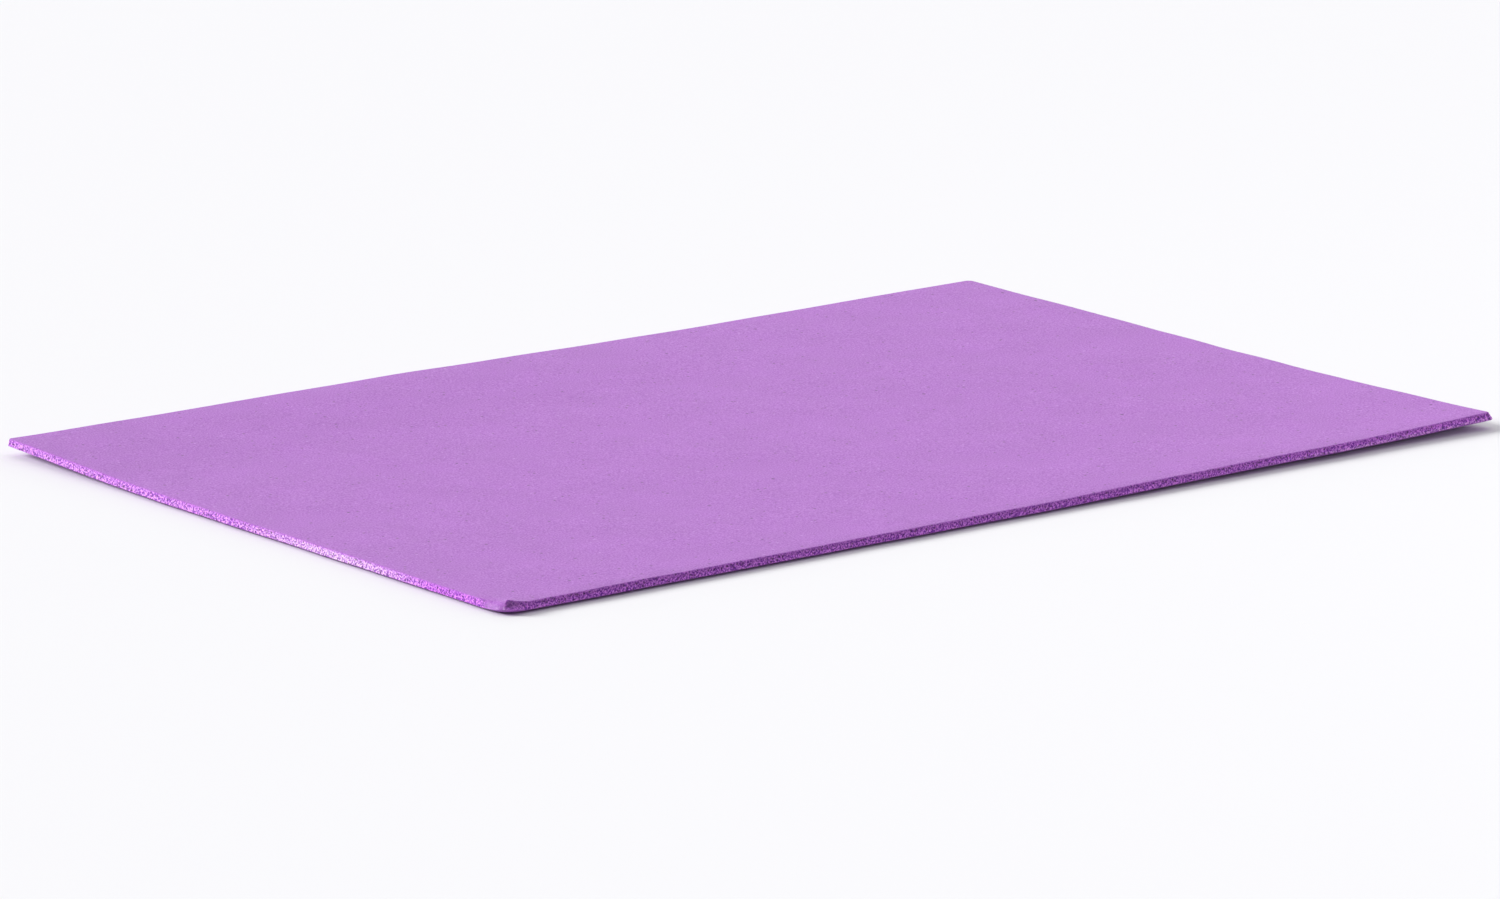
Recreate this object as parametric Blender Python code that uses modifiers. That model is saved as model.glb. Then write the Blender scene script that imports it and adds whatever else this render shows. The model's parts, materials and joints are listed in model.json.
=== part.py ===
# One sheet of craft foam, cut to 9 by 6 inches, lying flat on a table with three corners curled up a little
# and two slow waves in its long edges. The long side runs along X and the short side along Y.
# The origin is under the middle of the sheet, on the table.

from math import radians

import bmesh
import bpy

# The flat size, and the thickness from skin to skin
SHEET_LENGTH = 0.2286
SHEET_WIDTH = 0.1524
SHEET_THICKNESS = 0.0020

# The knife presses the foam thinner in a narrow border along the cut, and rounds both arrises
CUT_THICKNESS = 0.00175
PRESSED_BORDER = 0.0012
ARRIS_RADIUS = 0.0003
ARRIS_SEGMENTS = 3

# How high the tip of each curled corner stands, and how far from the tip the curl begins.
# The back right corner lies flat.
FRONT_LEFT_TIP = 0.0008
FRONT_LEFT_REACH = 0.010
BACK_LEFT_TIP = 0.0010
BACK_LEFT_REACH = 0.066
FRONT_RIGHT_TIP = 0.0013
FRONT_RIGHT_REACH = 0.074

# The wave in the back edge: the height of its crest, the crest's distance from the left end,
# half its length, and how far in from the edge it fades out
BACK_WAVE_HEIGHT = 0.0009
BACK_WAVE_FROM_LEFT = 0.064
BACK_WAVE_HALF_LENGTH = 0.100
BACK_WAVE_DEPTH = 0.040

# The wave in the front edge, in the same four measures
FRONT_WAVE_HEIGHT = 0.0004
FRONT_WAVE_FROM_LEFT = 0.168
FRONT_WAVE_HALF_LENGTH = 0.050
FRONT_WAVE_DEPTH = 0.024

# The curved stretches are modelled in cells of about this size
CELL = 0.004

FOAM_COLOUR = (0.50, 0.23, 0.63, 1.0)
FOAM_ROUGHNESS = 0.75

# Each curled corner: its side along X and along Y, the height of its tip, and its reach
CURLS = (
    (-1, -1, FRONT_LEFT_TIP, FRONT_LEFT_REACH),
    (-1, 1, BACK_LEFT_TIP, BACK_LEFT_REACH),
    (1, -1, FRONT_RIGHT_TIP, FRONT_RIGHT_REACH),
)

# Each wavy edge: its side along Y, then the wave's height, place, half length and depth
WAVES = (
    (1, BACK_WAVE_HEIGHT, BACK_WAVE_FROM_LEFT, BACK_WAVE_HALF_LENGTH, BACK_WAVE_DEPTH),
    (-1, FRONT_WAVE_HEIGHT, FRONT_WAVE_FROM_LEFT, FRONT_WAVE_HALF_LENGTH, FRONT_WAVE_DEPTH),
)


def smooth_hill(t):
    """1 at t = 0, and 0 from t = 1 outwards, level at both."""
    return max(0.0, 1 - t * t) ** 2


def height_over_table(x, y):
    """How far the sheet's underside stands off the table at x, y.

    A curl bends the sheet along a straight line across its corner, so it rises with the square
    of the way past that line. A wave is a smooth hill along its edge and inwards from it.
    """
    height = 0.0
    for side_x, side_y, tip, reach in CURLS:
        from_tip = (SHEET_LENGTH / 2 - side_x * x) + (SHEET_WIDTH / 2 - side_y * y)
        height += tip * max(0.0, 1 - from_tip / reach) ** 2
    for side_y, crest, from_left, half_length, depth in WAVES:
        along = (x + SHEET_LENGTH / 2 - from_left) / half_length
        inward = (SHEET_WIDTH / 2 - side_y * y) / depth
        height += crest * smooth_hill(along) * smooth_hill(inward)
    return height


def foam_material():
    material = bpy.data.materials.new("purple_eva_foam")
    material.use_nodes = True
    shader = material.node_tree.nodes["Principled BSDF"]
    shader.inputs["Base Color"].default_value = FOAM_COLOUR
    shader.inputs["Roughness"].default_value = FOAM_ROUGHNESS
    shader.inputs["Metallic"].default_value = 0.0
    return material


def middle_surface():
    """The surface halfway between the skins: a grid with a narrow border, raised by the curls and waves.

    What stays flat is one face. Returns the mesh, and the indices of the points inside the border.
    """
    bm = bmesh.new()
    bmesh.ops.create_grid(
        bm,
        x_segments=round(SHEET_LENGTH / CELL),
        y_segments=round(SHEET_WIDTH / CELL),
        size=0.5,
    )
    bmesh.ops.scale(bm, vec=(SHEET_LENGTH, SHEET_WIDTH, 1.0), verts=bm.verts)
    bmesh.ops.inset_region(
        bm, faces=bm.faces[:], thickness=PRESSED_BORDER, use_boundary=True, use_even_offset=True
    )
    flat_verts = set()
    for vert in bm.verts:
        height = height_over_table(vert.co.x, vert.co.y)
        vert.co.z = SHEET_THICKNESS / 2 + height
        if height == 0 and not vert.is_boundary:
            flat_verts.add(vert)
    flat_faces = [face for face in bm.faces if flat_verts.issuperset(face.verts)]
    bmesh.ops.dissolve_faces(bm, faces=flat_faces, use_verts=False)

    bm.verts.index_update()
    inside = [vert.index for vert in bm.verts if not vert.is_boundary]
    mesh = bpy.data.meshes.new("foam_sheet")
    bm.to_mesh(mesh)
    bm.free()
    return mesh, inside


def foam_sheet(collection):
    mesh, inside = middle_surface()
    mesh.materials.append(foam_material())
    mesh.shade_smooth()
    sheet = bpy.data.objects.new("foam_sheet", mesh)
    collection.objects.link(sheet)

    full_thickness = sheet.vertex_groups.new(name="full_thickness")
    full_thickness.add(inside, 1.0, "REPLACE")
    skins = sheet.modifiers.new("skins", "SOLIDIFY")
    skins.thickness = SHEET_THICKNESS
    skins.offset = 0.0
    skins.vertex_group = full_thickness.name
    skins.thickness_vertex_group = CUT_THICKNESS / SHEET_THICKNESS

    arrises = sheet.modifiers.new("arrises", "BEVEL")
    arrises.width = ARRIS_RADIUS
    arrises.segments = ARRIS_SEGMENTS
    arrises.limit_method = "ANGLE"
    arrises.angle_limit = radians(45)
    return sheet


def main():
    for old in list(bpy.data.objects):
        bpy.data.objects.remove(old, do_unlink=True)
    collection = bpy.data.collections.new("craft_foam_sheet")
    bpy.context.scene.collection.children.link(collection)
    foam_sheet(collection)


main()
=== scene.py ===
# One sheet of purple craft foam, lying on a pale studio floor.
# The slab is modelled as one closed skin: two faces, and a cut section carried round the sheet's outline.

import json
import math

import bpy
import numpy as np
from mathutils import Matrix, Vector


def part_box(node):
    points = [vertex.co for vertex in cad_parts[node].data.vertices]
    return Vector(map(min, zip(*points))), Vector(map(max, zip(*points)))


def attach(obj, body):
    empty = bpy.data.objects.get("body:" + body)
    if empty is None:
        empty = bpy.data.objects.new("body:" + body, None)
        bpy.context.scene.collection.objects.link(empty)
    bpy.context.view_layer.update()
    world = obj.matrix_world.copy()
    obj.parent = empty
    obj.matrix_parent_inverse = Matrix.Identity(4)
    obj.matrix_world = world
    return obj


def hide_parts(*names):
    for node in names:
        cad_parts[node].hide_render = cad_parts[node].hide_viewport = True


mm = 0.001

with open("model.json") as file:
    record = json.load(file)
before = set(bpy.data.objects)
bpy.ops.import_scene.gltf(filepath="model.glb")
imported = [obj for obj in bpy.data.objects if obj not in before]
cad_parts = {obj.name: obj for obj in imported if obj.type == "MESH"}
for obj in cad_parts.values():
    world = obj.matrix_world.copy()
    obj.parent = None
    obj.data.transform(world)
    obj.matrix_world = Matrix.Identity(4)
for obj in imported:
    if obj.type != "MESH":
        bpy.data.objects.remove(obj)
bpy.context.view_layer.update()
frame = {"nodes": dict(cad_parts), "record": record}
nodeLow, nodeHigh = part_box("foam_sheet")
mounts = {mount["name"]: mount for mount in frame["record"]["mounts"]}
print("frame loaded:", sorted(frame["nodes"]))


# The slab

slab = {
    "tipLean": 0.04 * mm,  # the curled tips lean out this much past the cut size
    "thickness": mounts["top_face"]["pos_m"][2],
    # each curled corner: its side along X and Y, the tip's height, and how far from the tip the curl begins
    "curls": ((-1, -1, 0.8 * mm, 7.5 * mm), (-1, 1, 1.0 * mm, 66 * mm), (1, -1, 1.3 * mm, 74 * mm)),
    # each wavy long edge: its side along Y, the crest's height and place from the left end, and how far the
    # wave reaches along the edge to either side of the crest, and inwards
    "waves": ((1, 0.9 * mm, 64 * mm, 100 * mm, 40 * mm), (-1, 0.4 * mm, 168 * mm, 50 * mm, 24 * mm)),
    "slopeStep": 0.5 * mm,  # their slope is taken over this way to either side
    # in plan: front left, front right, back right, back left
    "cornerRadii": (0.5 * mm, 0.4 * mm, 1.3 * mm, 0.5 * mm),
    "undulation": 0.04 * mm,  # slow unevenness of the skived top face,
    "undulationWaves": 9,  # as the sum of this many waves
    "undulationLengths": (15, 45),  # mm, the shortest and the longest of them
    "cellsLong": 92,  # coarse cells of the faces, along X
    "cellsWide": 60,  # and along Y
    "coarseInset": 4.0 * mm,  # the coarse cells stop this far inside the cut
    "fineStep": 10,  # fine points of the outline for each coarse cell
}
slab["length"] = nodeHigh.x - nodeLow.x - 2 * slab["tipLean"]
slab["width"] = nodeHigh.y - nodeLow.y - 2 * slab["tipLean"]

# A band is a part of the cut's height, in shares of it from the top down: where it begins and how deep it is
# for what grows downwards, and its middle and its reach to either side for what swells and fades again.

cut = {
    "pressedTop": 0.03 * mm,  # the knife presses the top skin in by this much at the cut,
    "pressedUnder": 0.46 * mm,  # and the lower one by this much
    "border": 2.0 * mm,  # the pressing fades out this far in,
    "innerInset": 2.4 * mm,  # and all that moves the cut in or out fades out this far in
    "arrisAcross": 0.22 * mm,  # the top arris is rounded over, this far across and this far down
    "arrisDown": 0.32 * mm,
    "lowerArris": 0.15 * mm,
    "lean": 0.10 * mm,  # the lower edge stands this far out of plumb
    "topInsets": (2.4, 1.9, 1.45, 1.05, 0.75, 0.5),  # mm, of the section's rows on the top border
    "arrisAngles": (0, 22, 45, 66, 84),  # degrees, of those over the top arris
    "arrisShare": 0.9,  # the last of which is this much cut face
    "rowsDown": 7,  # rows down the cut,
    "firstRow": 0.08,  # the first at this share of the way down
    "lowerAngles": (35, 65, 90),  # degrees, of the rows round the lower arris
    "lowerInsets": (0.6, 1.2, 2.4),  # mm, of those on the lower border
    "waviness": 0.06 * mm,  # the knife's line wanders,
    "wanderTurns": (7, 11, 16, 23, 31, 44),  # in waves that fit this many times into the outline
    "grainDepth": 0.045 * mm,  # torn cells on the cut
    "grainAlong": 0.6,  # each point's random number takes this share of its neighbours' in its row,
    "grainDown": 0.5,  # and this share of the one's over it
    "pitDepth": 0.10 * mm,
    "pitFrom": 1.3,  # a second random number over this many spreads makes a pit,
    "pitMost": 1.5,  # which grows over this many more
    "nicks": 0.030 * mm,  # raggedness of the arris
    "nickBand": (0.12, 0.15),
    "pale": 0.23,  # the cells are paler, partly stretched so by the knife and partly a painted sheen, but not on the shaded near long edge
    "paleFrom": 14 * mm,  # nor this near to the near corner on the short one
    "paleFade": 22 * mm,
    "nearShade": 0.12,  # where they are a little darker instead, as painted shade
    "palest": 0.56,  # they are palest on one stretch of the left edge, centred this far from the near corner
    "palestAt": 50 * mm,
    "palestHalf": 32 * mm,
    "underArrisShade": 0.32,  # the front cut is darker just under its arris, as painted shade
    "underArrisShadeBand": (0.25, 0.35),
    "lowerBounceLight": 0.36,  # and paler towards its lower edge, as painted bounce light
    "lowerBand": (0.4, 0.6),
    "frontShade": 0.24,  # and a little darker all along with painted shade,
    "frontShadeTo": 148 * mm,  # up to this far from the near corner
    "frontShadeFade": 52 * mm,
    "slant": 0.55 * mm,  # the lower edge stands further out at the front right tip,
    "slantLength": 7 * mm,  # and comes back this far from it
    "slantSmooth": 0.75,  # its cells are mostly dragged shut
    "seed": 11,
}

crush = {
    "along": 8 * mm,  # the short edge is rolled over on its last stretch before the near corner,
    "fade": 5 * mm,
    "turnUpper": 0.7 * mm,  # and the roll runs on round the corner, this far at the top
    "turnLower": 2.6 * mm,  # and this far at the lower edge
    "lower": 0.55 * mm,  # down to this height over the underside
    "rolledShade": 0.45,  # and painted darker with shade as it goes down
    "rolledShadeBand": (0, 0.5),
    "round": 2.8 * mm,  # the corner's radius in plan, in its lower half
    "roundBand": (0.15, 0.5),
    "rim": 0.32 * mm,  # the long edge's top arris is turned up at the very tip,
    "rimWidth": 1.5 * mm,
    "rimLength": 4.5 * mm,
    "rimHeights": (0.4, 0.6),  # from this share of the thickness, and over this much of it
    "hollow": 0.40 * mm,  # over a hollow of pressed foam, painted darker with shade,
    "hollowLength": 5.0 * mm,
    "hollowBand": (0.35, 0.4),
    "smooth": 0.6,  # where the cells are mostly pressed shut
    "lip": 0.22 * mm,  # and its lower edge stands proud, most of all this far from the tip
    "lipAt": 2.2 * mm,
    "lipBand": (0.6, 0.4),
}


def smoothStep(t):
    # 3t^2 - 2t^3 between t = 0 and t = 1, held level outside
    t = np.clip(t, 0, 1)
    return t * t * (3 - 2 * t)


def smoothHill(t):
    # (1 - t^2)^2 between t = -1 and t = 1, and 0 outside
    return np.clip(1 - t * t, 0, None) ** 2


def inBand(share, band):
    # the way past the band's first value, divided by its second
    start, reach = band
    return (share - start) / reach


def heightOverFloor(x, y):
    # a curl rises with the square of the way past its bending line, tip * (1 - way from the tip / reach)^2;
    # a wave is the product of one smooth hill along its edge and another inwards from it
    height = np.zeros_like(x)
    for sideX, sideY, tip, reach in slab["curls"]:
        fromTip = (slab["length"] / 2 - sideX * x) + (slab["width"] / 2 - sideY * y)
        height += tip * np.clip(1 - fromTip / reach, 0, None) ** 2
    for sideY, crest, fromLeft, halfLength, depth in slab["waves"]:
        along = (x + slab["length"] / 2 - fromLeft) / halfLength
        inward = (slab["width"] / 2 - sideY * y) / depth
        height += crest * smoothHill(along) * smoothHill(inward)
    return height


def slowRelief(x, y, rng):
    # the sum of a few sine waves of random lengths and directions, divided by the square root of their number
    relief = np.zeros_like(x)
    for _ in range(slab["undulationWaves"]):
        wavelength = rng.uniform(*slab["undulationLengths"]) * mm
        heading = rng.uniform(0, 2 * math.pi)
        phase = rng.uniform(0, 2 * math.pi)
        way = x * math.cos(heading) + y * math.sin(heading)
        relief += np.sin(way * 2 * math.pi / wavelength + phase)
    return relief / math.sqrt(slab["undulationWaves"])


def bend(points, rng):
    # each point rises with the curl or wave under it, and moves sideways by the slope times its height
    # over the middle of the slab, so the section turns with the bend; the top also gets its slow relief
    x, y, z = points.T
    step = slab["slopeStep"]
    slopeX = (heightOverFloor(x + step, y) - heightOverFloor(x - step, y)) / (2 * step)
    slopeY = (heightOverFloor(x, y + step) - heightOverFloor(x, y - step)) / (2 * step)
    overMiddle = z - slab["thickness"] / 2
    relief = slab["undulation"] * slowRelief(x, y, rng) * smoothStep(z / slab["thickness"])
    lift = heightOverFloor(x, y) + relief
    return np.stack((x - slopeX * overMiddle, y - slopeY * overMiddle, z + lift), axis=1)


def outlineRing(inset):
    # One closed ring round the slab, counterclockwise from the middle of the near left corner: the cut
    # rectangle shrunk by `inset`, with each corner on a small arc. A side runs at an even pace from the
    # middle of one arc, by the straight, to the middle of the next.
    # Returns each point's x and y, its outward direction, the number of its side, and its way along it.
    half = np.array([slab["length"] / 2, slab["width"] / 2]) - inset
    corners = np.array([[-1, -1], [1, -1], [1, 1], [-1, 1]]) * half
    radii = slab["cornerRadii"]
    counts = [slab["cellsLong"] * slab["fineStep"], slab["cellsWide"] * slab["fineStep"]] * 2
    places, outwards, sides, ways = [], [], [], []
    for side, count in enumerate(counts):
        start, end = corners[side], corners[(side + 1) % 4]
        run = np.linalg.norm(end - start)
        along = (end - start) / run
        outward = np.array([along[1], -along[0]])
        startRadius, endRadius = radii[side], radii[(side + 1) % 4]
        startArc, endArc = startRadius * math.pi / 4, endRadius * math.pi / 4
        straight = run - startRadius - endRadius
        way = np.arange(count) / count * (startArc + straight + endArc)
        turn = np.minimum(0, (way - startArc) / startRadius)
        turn = turn + np.maximum(0, (way - startArc - straight) / endRadius)
        radius = np.where(turn < 0, startRadius, endRadius)
        reach = startRadius + np.clip(way - startArc, 0, straight) + radius * np.sin(turn)
        drop = radius * (np.cos(turn) - 1)
        places.append(start + reach[:, None] * along + drop[:, None] * outward)
        outwards.append(np.cos(turn)[:, None] * outward + np.sin(turn)[:, None] * along)
        sides.append(np.full(count, side))
        ways.append(reach)
    return np.concatenate(places), np.concatenate(outwards), np.concatenate(sides), np.concatenate(ways)


def sectionRows():
    # The cut section from the top face round to the underside, as rows of inset, height and share of cut
    # face: the top border, a quarter ellipse over the top arris, the cut, a quarter circle under it, and the
    # lower border. The borders are pressed in by depth * (1 - inset / border)^2.
    thickness, pressed = slab["thickness"], cut["pressedUnder"]

    def pressing(inset, depth):
        return depth * (1 - min(1, inset / cut["border"])) ** 2

    rows = []
    for inset in cut["topInsets"]:
        inset = inset * mm
        rows.append((inset, thickness - pressing(inset, cut["pressedTop"]), 0.0))
    top = thickness - pressing(cut["arrisAcross"], cut["pressedTop"])
    angles = np.radians(cut["arrisAngles"])
    for angle in angles:
        inset = cut["arrisAcross"] * (1 - math.sin(angle))
        height = top - cut["arrisDown"] * (1 - math.cos(angle))
        rows.append((inset, height, angle / angles[-1] * cut["arrisShare"]))
    upper, lower = top - cut["arrisDown"], pressed + cut["lowerArris"]
    for share in np.linspace(cut["firstRow"], 1, cut["rowsDown"]):
        rows.append((-cut["lean"] * share, upper + (lower - upper) * share, 1.0))
    angles = np.radians(cut["lowerAngles"])
    for angle in angles:
        inset = cut["lowerArris"] * (1 - math.cos(angle)) - cut["lean"]
        height = lower - cut["lowerArris"] * math.sin(angle)
        rows.append((inset, height, 1 - angle / angles[-1]))
    for inset in cut["lowerInsets"]:
        inset = inset * mm
        rows.append((inset, pressing(inset, pressed), 0.0))
    return np.array(rows)


def grainField(rows, count, rng):
    # random numbers on rows by points, each with a share of its neighbours' added, scaled to a spread of 1
    field = rng.normal(size=(rows, count))
    field = field + cut["grainAlong"] * (np.roll(field, 1, axis=1) + np.roll(field, -1, axis=1))
    field[1:] += cut["grainDown"] * field[:-1]
    return field / field.std()


def wander(count, rng, turns):
    # a closed random line: the sum of sine waves that fit a whole number of times into the outline
    line = np.zeros(count)
    way = np.arange(count) / count
    for number in turns:
        line += rng.normal() * np.sin(2 * math.pi * (number * way + rng.uniform()))
    return line / math.sqrt(len(turns) / 2)


def rowOfLowerCut(section):
    # the number of the lowest row that still takes part in the rolled stretch
    return int(np.sum(section[:, 1] > crush["lower"])) - 1


def cutStrip(rng):
    # The section carried round the outline. Each row is a ring, moved along the outline's outward direction
    # by the knife's wander, the torn cells, the nicks and the slanted tip, and reshaped where the near
    # corner is crushed: there it turns into one quarter ellipse from the top face down to the lower arris.
    # Returns each ring's points, shares of cut face, and paleness, partly a painted sheen, which is below 0
    # where shade is painted on the cut.
    section = sectionRows()
    _, _, side, way = outlineRing(0)
    count = len(side)
    grain = grainField(len(section), count, rng)
    pits = np.clip(grainField(len(section), count, rng) - cut["pitFrom"], 0, cut["pitMost"])
    nick = grainField(1, count, rng)[0]
    line = wander(count, rng, cut["wanderTurns"])

    # how far each point is along the edges that meet in the near corner, and from the front right tip
    nearEnd = np.where(side == 3, slab["width"] - way, slab["width"])
    fromTip = np.where(side == 0, way, slab["length"])
    fromRight = np.where(side == 0, slab["length"] - way, np.where(side == 1, way, slab["length"]))
    rolledShort = smoothStep((crush["along"] - nearEnd) / crush["fade"]) * (side == 3)
    rim = smoothStep(1 - fromTip / crush["rimLength"])
    hollow = smoothStep(1 - fromTip / crush["hollowLength"])
    lip = smoothHill(fromTip / crush["lipAt"] - 1)
    slant = smoothStep(1 - fromRight / cut["slantLength"])
    far = smoothStep((nearEnd - cut["paleFrom"]) / cut["paleFade"])
    # paleness of the far sides' cells, partly painted sheen, and painted shade near the near corner
    paleSheenAndShade = (side > 0) * (cut["pale"] * far - cut["nearShade"] * (1 - far))
    paleSheenAndShade = paleSheenAndShade + cut["palest"] * smoothHill((nearEnd - cut["palestAt"]) / cut["palestHalf"])
    # painted shade along the front cut, fading out towards its right end
    frontShade = 1 - smoothStep((fromTip - cut["frontShadeTo"]) / cut["frontShadeFade"])
    frontShade = cut["frontShade"] * frontShade * (1 - hollow) * (side == 0)
    fromCorner = np.clip(np.minimum(nearEnd, fromTip), slab["cornerRadii"][0], crush["round"])
    rounding = crush["round"] - np.sqrt(crush["round"] ** 2 - (crush["round"] - fromCorner) ** 2)

    top = section[0][1]
    rings, shares, palesAndShades = [], [], []
    for number, (inset, height, share) in enumerate(section):
        depth = (top - height) / (top - cut["pressedUnder"])
        fade = np.clip(1 - inset / cut["innerInset"], 0, 1)
        turnLength = crush["turnUpper"] + (crush["turnLower"] - crush["turnUpper"]) * np.clip(depth, 0, 1)
        rolled = rolledShort + smoothStep(1 - fromTip / turnLength)
        place, outward, _, _ = outlineRing(inset)
        move = cut["waviness"] * line * fade
        torn = share * (1 - rolled) * (1 - hollow) * (1 - cut["slantSmooth"] * slant)
        move = move - torn * (cut["grainDepth"] * np.abs(grain[number]) + cut["pitDepth"] * pits[number])
        nicked = smoothHill(inBand(depth, cut["nickBand"])) * (1 - rolled) * (1 - hollow)
        move = move + cut["nicks"] * nick * nicked
        move = move + crush["lip"] * lip * smoothStep(inBand(depth, crush["lipBand"])) * fade
        move = move + cut["slant"] * slant * smoothStep(depth) * fade
        rounded = np.maximum(rolledShort, smoothStep(inBand(depth, crush["roundBand"])))
        move = move - rounding * rounded * fade
        sunk = hollow * smoothHill(inBand(depth, crush["hollowBand"])) * (1 - rolled)
        move = move - crush["hollow"] * sunk * (share > 0)
        heights = np.full(count, height)
        if height > crush["lower"]:
            turn = math.pi / 2 * number / rowOfLowerCut(section)
            rolledInset = cut["innerInset"] * (1 - math.sin(turn))
            rolledHeight = top - (top - crush["lower"]) * (1 - math.cos(turn))
            move = move - rolled * (rolledInset - inset)
            heights = heights + rolled * (rolledHeight - height)
        upperShare = smoothStep(inBand(height / slab["thickness"], crush["rimHeights"]))
        turnedUp = rim * (1 - rolled) * upperShare * smoothStep(1 - inset / crush["rimWidth"])
        heights = heights + crush["rim"] * turnedUp
        ring = place + move[:, None] * outward
        rings.append(np.column_stack((ring, heights)))
        shares.append(share * (1 - rolled) * (1 - crush["smooth"] * hollow))
        # painted shade: the rolled corner darker as it goes down
        rolledCornerShade = crush["rolledShade"] * rolledShort * smoothStep(nearEnd / crush["fade"])
        # painted shade in the hollow at the near tip, added to the rolled corner's
        dark = sunk + rolledCornerShade * smoothStep(inBand(depth, crush["rolledShadeBand"])) * fade
        # painted shade just under the front cut's arris
        dark = dark + cut["underArrisShade"] * smoothHill(inBand(depth, cut["underArrisShadeBand"])) * (side == 0)
        # painted shade along the front cut
        dark = dark + share * frontShade
        # painted bounce light: the front cut paler towards its lower edge
        lowerPart = smoothStep(inBand(depth, cut["lowerBand"])) * (1 - hollow) * (side == 0)
        dark = dark - cut["lowerBounceLight"] * share * lowerPart
        palesAndShades.append(share * paleSheenAndShade * (1 - rolled) - dark)
    return np.array(rings), np.array(shares), np.array(palesAndShades)


bakeLayout = {
    "map": "OFBake",  # the name of the map that lays the skin out flat on one image
    "margin": 0.006,  # shares of the image
    "top": 0.58,
    "cut": 0.028,  # for each of the four sides; the underside gets what is left
}


def layOut(section, quads, triangles, gridPlaces):
    # The skin laid flat on one image, as a place for each face's corners: the top face at the bottom,
    # the cut's four sides over it as strips, drawn wider than they are, and the underside over them.
    # Faces of the skin take their nominal x and y. The cut takes its way along the side and down the section.
    margin, cutHeight = bakeLayout["margin"], bakeLayout["cut"]
    span = 1 - 2 * margin
    _, _, side, _ = outlineRing(0)
    count = len(side)
    places = np.concatenate([outlineRing(inset)[0] for inset in section[:, 0]] + [gridPlaces, gridPlaces])
    across = places[:, 0] / slab["length"] + 0.5
    upwards = places[:, 1] / slab["width"] + 0.5
    cutStart = bakeLayout["top"] + 2 * margin
    underStart = cutStart + 4 * (cutHeight + margin)
    top = np.column_stack((margin + span * across, margin + bakeLayout["top"] * upwards))
    under = np.column_stack((1 - margin - span * across, underStart + (1 - margin - underStart) * upwards))
    cutRows = np.flatnonzero(section[:, 2] > 0)
    firstRow, lastRow = cutRows[0], cutRows[-1] + 1
    below = np.zeros(len(places), bool)
    below[lastRow * count:len(section) * count] = True
    below[-len(gridPlaces):] = True

    def facePlaces(faces):
        return np.where(below[faces].all(axis=1)[:, None, None], under[faces], top[faces])

    quadPlaces = facePlaces(quads)
    perSide = np.bincount(side)[side]
    start = margin + span * (np.arange(count) - np.searchsorted(side, side)) / perSide
    end = start + span / perSide
    wayDown = np.cumsum(np.hypot(*np.diff(section[firstRow:lastRow + 1, :2], axis=0).T))
    levels = cutHeight * (1 - np.concatenate(([0], wayDown)) / wayDown[-1])
    base = cutStart + side * (cutHeight + margin)
    for number, row in enumerate(range(firstRow, lastRow)):
        upper, lower = base + levels[number], base + levels[number + 1]
        corners = ((start, upper), (start, lower), (end, lower), (end, upper))
        quadPlaces[row * count:(row + 1) * count] = np.stack([np.column_stack(c) for c in corners], axis=1)
    return np.concatenate((quadPlaces.reshape(-1, 2), facePlaces(triangles).reshape(-1, 2)))


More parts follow.
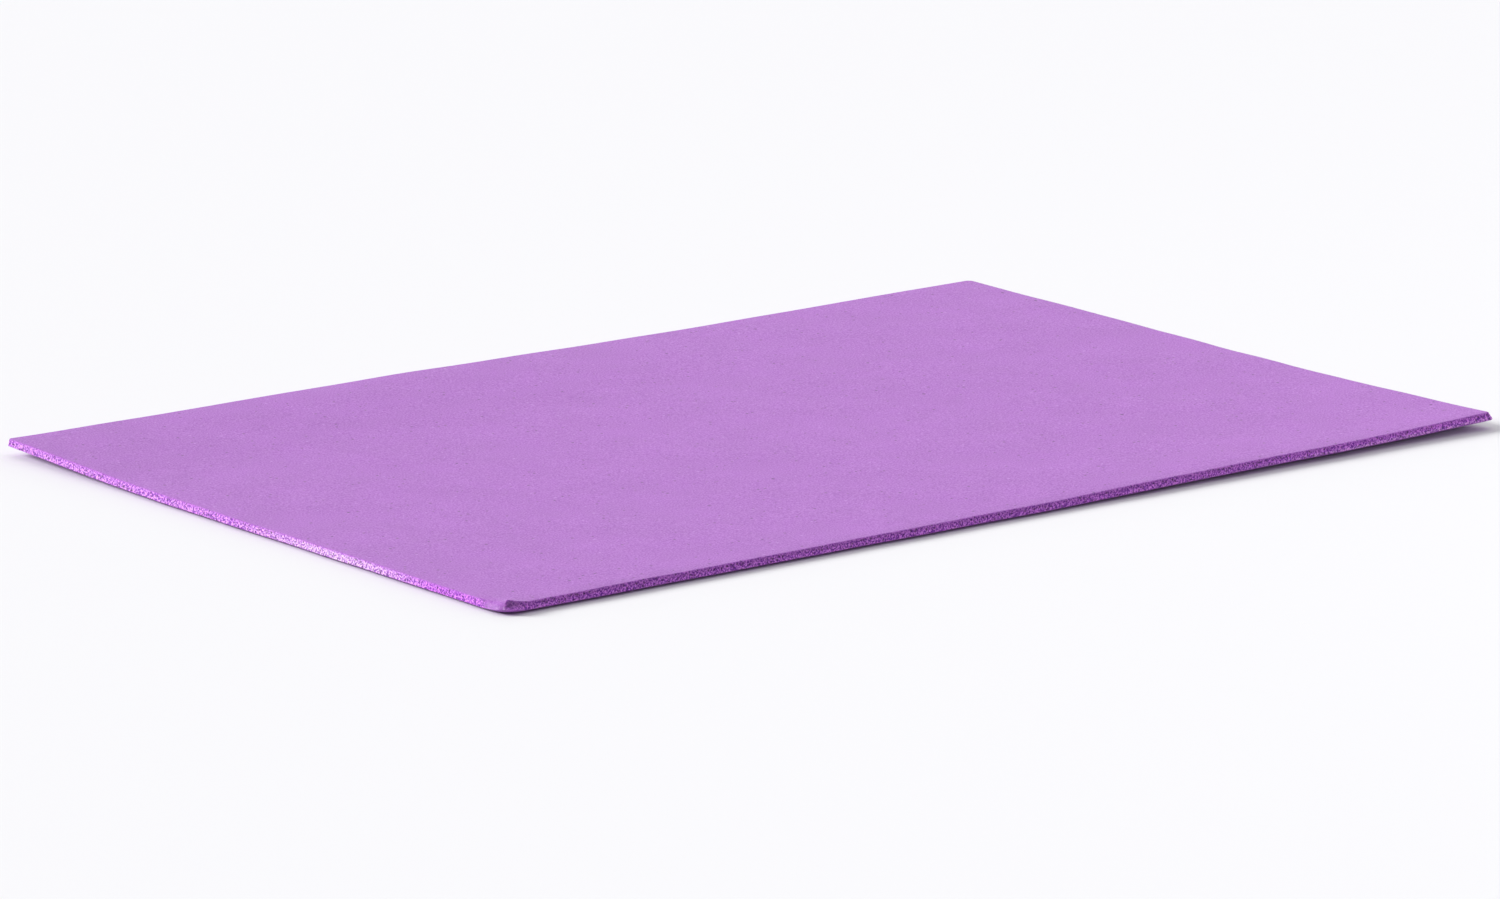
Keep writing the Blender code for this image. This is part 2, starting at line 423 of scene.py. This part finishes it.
def slabMesh(name):
    # the cut strip, a coarse grid for each face inside it, and fans of triangles that join them
    rng = np.random.default_rng(cut["seed"])
    rings, shares, palesAndShades = cutStrip(rng)
    rowCount, count = rings.shape[:2]
    long, wide, fine = slab["cellsLong"], slab["cellsWide"], slab["fineStep"]

    # the two faces' points, row by row from the front
    halfLength = slab["length"] / 2 - slab["coarseInset"]
    halfWidth = slab["width"] / 2 - slab["coarseInset"]
    gridX = np.tile(np.linspace(-halfLength, halfLength, long + 1), wide + 1)
    gridY = np.repeat(np.linspace(-halfWidth, halfWidth, wide + 1), long + 1)
    flat = np.column_stack((gridX, gridY))
    upper = np.column_stack((flat, np.full(len(flat), slab["thickness"])))
    lower = np.column_stack((flat, np.zeros(len(flat))))
    points = bend(np.concatenate((rings.reshape(-1, 3), upper, lower)), rng)
    points[:, 2] = np.maximum(points[:, 2], 0)

    # the strip's quads, row by row, closed round the outline
    here = np.arange(count)
    after = (here + 1) % count
    strip = []
    for row in range(rowCount - 1):
        above, below = row * count, (row + 1) * count
        strip.append(np.column_stack((above + here, below + here, below + after, above + after)))

    # the grids' quads: the upper one turns up, the lower one down
    column, row = np.meshgrid(np.arange(long), np.arange(wide))
    first = (row * (long + 1) + column).ravel()
    cell = np.column_stack((first, first + 1, first + long + 2, first + long + 1))
    upperStart, lowerStart = rowCount * count, rowCount * count + len(flat)
    grids = [upperStart + cell, lowerStart + cell[:, ::-1]]

    # a fan of triangles joins each coarse edge to the fine points outside it
    edge = np.concatenate((
        np.arange(long),
        np.arange(wide) * (long + 1) + long,
        wide * (long + 1) + np.arange(long, 0, -1),
        np.arange(wide, 0, -1) * (long + 1),
    ))
    nextEdge = np.roll(edge, -1)
    coarse = here // fine
    apex = np.where(here % fine < fine // 2, edge[coarse], nextEdge[coarse])
    middle = np.arange(len(edge)) * fine + fine // 2
    sheetFaces = (
        (upperStart, 0, (0, 1, 2)),
        (lowerStart, (rowCount - 1) * count, (0, 2, 1)),
    )
    fans = []
    for start, ringStart, order in sheetFaces:
        outer = np.column_stack((start + apex, ringStart + here, ringStart + after))
        inner = np.column_stack((start + edge, ringStart + middle, start + nextEdge))
        fans.append(outer[:, order])
        fans.append(inner[:, order])

    quads, triangles = np.concatenate(strip + grids), np.concatenate(fans)
    mesh = bpy.data.meshes.new(name)
    mesh.from_pydata(points, [], quads.tolist() + triangles.tolist())
    mesh.shade_smooth()
    facePoints = np.zeros(2 * len(flat))
    # the cut's paleness, partly painted sheen, and below 0 its painted shade
    for attributeName, values in (("cutShare", shares), ("cutPaleAndShade", palesAndShades)):
        attribute = mesh.attributes.new(attributeName, "FLOAT", "POINT")
        attribute.data.foreach_set("value", np.concatenate((values.ravel(), facePoints)).astype(np.float32))
    layout = mesh.uv_layers.new(name=bakeLayout["map"], do_init=False)
    cornerPlaces = layOut(sectionRows(), quads, triangles, flat)
    layout.uv.foreach_set("vector", cornerPlaces.astype(np.float32).ravel())
    mesh.validate()
    return mesh


# Materials


def hexColour(text):
    # sRGB hex to linear: c / 12.92 for the darkest, ((c + 0.055) / 1.055)^2.4 above
    parts = [int(text[i:i + 2], 16) / 255 for i in (1, 3, 5)]
    linear = [c / 12.92 if c <= 0.04045 else ((c + 0.055) / 1.055) ** 2.4 for c in parts]
    return (*linear, 1.0)


def addNode(tree, kind, settings, inputs):
    # one node: its settings by name, and its inputs by name or number, each a value or a socket to link from
    node = tree.nodes.new(kind)
    for name, value in settings.items():
        setattr(node, name, value)
    for name, value in inputs.items():
        if isinstance(value, bpy.types.NodeSocket):
            tree.links.new(value, node.inputs[name])
        else:
            node.inputs[name].default_value = value
    return node


def fromRange(tree, value, source, target=(0.0, 1.0), **settings):
    # the value's share of the way through the source range, taken through the target range
    inputs = {"Value": value, "From Min": source[0], "From Max": source[1]}
    inputs.update({"To Min": target[0], "To Max": target[1]})
    return addNode(tree, "ShaderNodeMapRange", settings, inputs).outputs["Result"]


def byShare(tree, share, first, last):
    # first + share * (last - first), for a share from 0 to 1
    return fromRange(tree, share, (0.0, 1.0), (first, last))


def mixColours(tree, share, first, last):
    # first + share * (last - first), for two colours
    mix = addNode(tree, "ShaderNodeMix", {"data_type": "RGBA"}, {0: share, 6: first, 7: last})
    return mix.outputs[2]


def scaleColour(tree, colour, gain):
    # the colour times the gain
    scaled = addNode(tree, "ShaderNodeVectorMath", {"operation": "SCALE"}, {0: colour, "Scale": gain})
    return scaled.outputs["Vector"]


def compute(tree, operation, *values):
    return addNode(tree, "ShaderNodeMath", {"operation": operation}, dict(enumerate(values))).outputs["Value"]


def pointValue(tree, name):
    # what the mesh keeps at its points under this name
    return addNode(tree, "ShaderNodeAttribute", {"attribute_name": name}, {}).outputs["Fac"]


def noise(tree, position, size, detail, roughness):
    # fractal noise with features of about this size, in mm
    inputs = {"Vector": position, "Scale": 1 / size, "Detail": detail, "Roughness": roughness}
    return addNode(tree, "ShaderNodeTexNoise", {}, inputs).outputs["Fac"]


def randomCells(tree, position, spacing):
    # Voronoi cells this far apart, in mm; distances in them count in spacings
    inputs = {"Vector": position, "Scale": 1 / spacing}
    return addNode(tree, "ShaderNodeTexVoronoi", {"feature": "F1"}, inputs)


foam = {
    "skinDark": "#9040AC",
    "skinLight": "#B877CC",
    "skinGrain": 0.32,  # mm
    "grainRange": (0.25, 0.75),  # the noise that is darkest and the noise that is lightest
    "mottle": 9.0,  # mm
    "mottleRange": (0.3, 0.7),
    "mottleContrast": 0.03,
    "bubbleSpacing": 4.5,  # mm
    "bubbleRadius": 0.42,  # mm, of the largest
    "bubbleDark": 0.30,  # a bubble keeps this share of the colour, as painted shade in it
    "bubbleDepth": 0.10,  # mm
    # pinholes with no relief, dark by painted shade alone
    "pinSpacing": 1.35,  # mm
    "pinRadius": 0.34,  # mm, of the largest
    "pinDark": 0.42,
    # painted glints: light specks on the skin that stand in for tiny highlights
    "glintSpacing": 1.7,  # mm
    "glintRadius": 0.34,  # mm, of the largest
    "glintColour": "#BC82CF",
    "poreGreys": (0.55, 0.85),  # a cell's random grey, from the smallest pores to the largest
    "poreLeast": 0.1,  # the smallest one's share of the largest radius
    "poreFloor": 0.55,  # a pore's sides rise from this share of its radius on
    "cell": 0.34,  # mm
    "cellRange": (0.36, 0.64),  # the noise on a cell's floor and the noise on its wall
    "pit": 0.80,  # mm from one to the next
    "pitRange": (0.34, 0.18),  # a pit's radius and its floor's, in spacings
    # the cells' floors darker and their walls lighter, partly their own tone and partly painted shade and
    # light; the paler pair is partly stretched cells and partly painted sheen
    "cellFloor": "#7A2AA7",
    "cellWall": "#E88AF9",
    "paleFloor": "#A060BC",
    "paleWall": "#FFE2FF",
    "shadeGain": 0.5,  # the deepest painted shade keeps this share of the colour
    "pitDark": 0.40,  # and a pit this, as painted shade
    "skinBump": 0.030,  # mm
    "cellBump": 0.100,  # mm
    "roughness": 0.55,
    "cutRoughness": 0.9,
    "ior": 1.5,
    "subsurface": 0.3,  # share of the light that goes through the foam
    "subsurfaceReach": (1.0, 0.35, 1.2),  # mm, of red, green and blue
}


def roundSpots(tree, position, spacing, radius):
    # 1 in the middle of a round spot and 0 outside, for open pores and painted glints alike: Voronoi cells of
    # one spacing, each with a spot whose radius follows the cell's own random grey, so that many cells have
    # next to none
    pore = randomCells(tree, position, spacing)
    largest = radius / spacing
    size = fromRange(tree, pore.outputs["Color"], foam["poreGreys"], (largest * foam["poreLeast"], largest))
    way = compute(tree, "DIVIDE", pore.outputs["Distance"], size)
    return fromRange(tree, way, (1.0, foam["poreFloor"]), interpolation_type="SMOOTHSTEP")


def evaFoamMaterial():
    # Ethylene-vinyl acetate foam, skived from a block: a dull, even skin with a very fine grain, painted
    # glints and a few open bubbles darkened by painted shade; on the cut the torn cells show, darker in their
    # floors and lighter on their walls, partly their own tone and partly painted shade and light.
    material = bpy.data.materials.new("skived_eva_foam")
    material.use_nodes = True
    tree = material.node_tree
    shader = tree.nodes["Principled BSDF"]
    shader.inputs["IOR"].default_value = foam["ior"]
    shader.inputs["Subsurface Weight"].default_value = foam["subsurface"]
    shader.inputs["Subsurface Radius"].default_value = foam["subsurfaceReach"]
    shader.inputs["Subsurface Scale"].default_value = mm

    place = addNode(tree, "ShaderNodeTexCoord", {}, {})
    inMm = addNode(tree, "ShaderNodeMapping", {}, {"Vector": place.outputs["Object"], "Scale": (1 / mm,) * 3})
    position = inMm.outputs["Vector"]
    share = pointValue(tree, "cutShare")
    # the cut's paleness, partly painted sheen, and below 0 its painted shade
    pale = pointValue(tree, "cutPaleAndShade")
    grain = noise(tree, position, foam["skinGrain"], detail=1.0, roughness=0.5)
    mottle = noise(tree, position, foam["mottle"], detail=2.0, roughness=0.5)
    cell = noise(tree, position, foam["cell"], detail=1.0, roughness=0.5)
    wall = fromRange(tree, cell, foam["cellRange"])
    pit = randomCells(tree, position, foam["pit"]).outputs["Distance"]
    pitHole = fromRange(tree, pit, foam["pitRange"], interpolation_type="SMOOTHSTEP")
    bubble = roundSpots(tree, position, foam["bubbleSpacing"], foam["bubbleRadius"])
    pin = roundSpots(tree, position, foam["pinSpacing"], foam["pinRadius"])
    glint = roundSpots(tree, position, foam["glintSpacing"], foam["glintRadius"])

    # the skin's colour: from dark to light purple with the grain, all of it a little up and down with the
    # mottling, and light specks that are painted glints
    grainShare = fromRange(tree, grain, foam["grainRange"])
    grainy = mixColours(tree, grainShare, hexColour(foam["skinDark"]), hexColour(foam["skinLight"]))
    mottleTarget = (1 - foam["mottleContrast"], 1 + foam["mottleContrast"])
    mottleGain = fromRange(tree, mottle, foam["mottleRange"], mottleTarget, clamp=False)
    skin = mixColours(tree, glint, scaleColour(tree, grainy, mottleGain), hexColour(foam["glintColour"]))

    # the cut's colour: from the cells' floors to their walls, partly their own tone and partly painted shade
    # and light, in the plain pair or the paler pair of stretched cells and painted sheen
    plainCells = mixColours(tree, wall, hexColour(foam["cellFloor"]), hexColour(foam["cellWall"]))
    paleCells = mixColours(tree, wall, hexColour(foam["paleFloor"]), hexColour(foam["paleWall"]))
    cellMix = mixColours(tree, pale, plainCells, paleCells)
    # painted shade in the cut's pits
    cells = scaleColour(tree, cellMix, byShare(tree, pitHole, 1.0, foam["pitDark"]))

    # both, each in its share, and darker with painted shade in the open pores and where shade is painted on
    # the cut
    bubbleDark = byShare(tree, bubble, 1.0, foam["bubbleDark"])
    pinDark = byShare(tree, pin, 1.0, foam["pinDark"])
    paintedShade = fromRange(tree, pale, (-1.0, 0.0), (foam["shadeGain"], 1.0))
    shadow = compute(tree, "MULTIPLY", compute(tree, "MULTIPLY", bubbleDark, pinDark), paintedShade)
    colour = scaleColour(tree, mixColours(tree, share, skin, cells), shadow)
    tree.links.new(colour, shader.inputs["Base Color"])
    dull = byShare(tree, share, foam["roughness"], foam["cutRoughness"])
    tree.links.new(dull, shader.inputs["Roughness"])

    # relief in metres: the grain everywhere, the cells on the cut, and the bubbles' hollows
    grainHeight = compute(tree, "MULTIPLY", grain, foam["skinBump"] * mm)
    cellShare = compute(tree, "MULTIPLY", wall, share)
    cellHeight = compute(tree, "MULTIPLY_ADD", cellShare, foam["cellBump"] * mm, grainHeight)
    height = compute(tree, "MULTIPLY_ADD", bubble, -foam["bubbleDepth"] * mm, cellHeight)
    bump = addNode(tree, "ShaderNodeBump", {}, {"Height": height, "Distance": 1.0})
    tree.links.new(bump.outputs["Normal"], shader.inputs["Normal"])
    return material


def addObject(data):
    # a mesh, a light or a camera as an object of the same name
    added = bpy.data.objects.new(data.name, data)
    bpy.context.scene.collection.objects.link(added)
    return added


slabPiece = addObject(slabMesh("purple_foam_sheet"))
slabPiece.data.materials.append(evaFoamMaterial())
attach(slabPiece, "root")
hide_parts("foam_sheet")
print("slab made:", len(slabPiece.data.polygons), "faces")


# The studio: a pale matt floor, a bright wall behind, one large soft light on the left, and a weak one
# on the right. Its sizes and places are in metres, and its angles in degrees, azimuths from +Y towards +X.

studio = {
    "floorHalf": 8.0,
    "floorGap": 0.01 * mm,  # so the underside and the floor don't share one plane
    "floor": "#EDEDEE",
    "floorRoughness": 0.9,
    "keyStrength": 3.36,  # watts on each square metre
    "keyAngle": 24,  # degrees across, as a large softbox is seen from the sheet
    "keyAzimuth": -50,
    "keyElevation": 27,
    "fillPower": 0.28,  # watts
    "fillSize": 0.25,
    "fillPlace": (0.36, -0.42, 0.09),
    "fillAim": (0.08, -0.076, 0.0),
    "wall": "#FFFFFF",
    "wallStrength": 1.15,
    "wallAzimuth": 38,
    "room": "#EAE4FF",
    "roomStrength": 0.17,
}


def direction(azimuth, elevation):
    # the unit vector towards an azimuth from +Y towards +X and an elevation, both in degrees
    azimuth, elevation = math.radians(azimuth), math.radians(elevation)
    level = math.cos(elevation)
    return Vector((math.sin(azimuth) * level, math.cos(azimuth) * level, math.sin(elevation)))


def floorPiece():
    # matt white paper, with no gloss, so that it stays even and pale
    half, z = studio["floorHalf"], -studio["floorGap"]
    corners = [(-half, -half, z), (half, -half, z), (half, half, z), (-half, half, z)]
    mesh = bpy.data.meshes.new("studio_floor")
    mesh.from_pydata(corners, [], [(0, 1, 2, 3)])
    material = bpy.data.materials.new("matt_white_paper")
    material.use_nodes = True
    shader = material.node_tree.nodes["Principled BSDF"]
    shader.inputs["Base Color"].default_value = hexColour(studio["floor"])
    shader.inputs["Roughness"].default_value = studio["floorRoughness"]
    shader.inputs["Specular IOR Level"].default_value = 0.0
    mesh.materials.append(material)
    floor = addObject(mesh)


def keyLight():
    # a large softbox to the camera's left
    lamp = bpy.data.lights.new("key_softbox", "SUN")
    lamp.energy = studio["keyStrength"]
    lamp.angle = math.radians(studio["keyAngle"])
    towardsKey = direction(studio["keyAzimuth"], studio["keyElevation"])
    addObject(lamp).rotation_euler = towardsKey.to_track_quat("Z", "Y").to_euler()


def fillLight():
    # a small card on the right lifts the far end of the near edge
    lamp = bpy.data.lights.new("fill_card", "AREA")
    lamp.energy = studio["fillPower"]
    lamp.size = studio["fillSize"]
    card = addObject(lamp)
    card.location = studio["fillPlace"]
    line = Vector(studio["fillAim"]) - card.location
    card.rotation_euler = line.to_track_quat("-Z", "Y").to_euler()


def studioWorld():
    # the light from a direction runs from the dim side to the bright wall, with the cosine to the wall
    world = bpy.data.worlds.new("studio_walls")
    bpy.context.scene.world = world
    world.use_nodes = True
    tree = world.node_tree
    look = addNode(tree, "ShaderNodeTexCoord", {}, {})
    towards = addNode(tree, "ShaderNodeVectorMath", {"operation": "DOT_PRODUCT"},
                      {0: look.outputs["Generated"], 1: direction(studio["wallAzimuth"], 0)})
    share = fromRange(tree, towards.outputs["Value"], (-1.0, 1.0), interpolation_type="SMOOTHSTEP")
    wall = [c * studio["wallStrength"] for c in hexColour(studio["wall"])]
    room = [c * studio["roomStrength"] for c in hexColour(studio["room"])]
    tree.links.new(mixColours(tree, share, room, wall), tree.nodes["Background"].inputs["Color"])


camera = {
    "azimuth": 38.12,  # degrees, the way it looks
    "elevation": 13.41,  # degrees that it looks down
    "distance": 1.805,  # metres
    "aim": (-6.8 * mm, -7.7 * mm, 1 * mm),
    "lens": 235.6,  # mm
    "clipStart": 0.01,  # metres
}


def photoCamera():
    lens = bpy.data.cameras.new("camera")
    lens.lens = camera["lens"]
    lens.clip_start = camera["clipStart"]
    view = addObject(lens)
    line = direction(camera["azimuth"], -camera["elevation"])
    view.location = Vector(camera["aim"]) - camera["distance"] * line
    view.rotation_euler = line.to_track_quat("-Z", "Y").to_euler()
    bpy.context.scene.camera = view


floorPiece()
keyLight()
fillLight()
studioWorld()
photoCamera()
scene = bpy.context.scene
scene.view_settings.view_transform = "Standard"
scene.cycles.use_denoising = True
print("studio set")
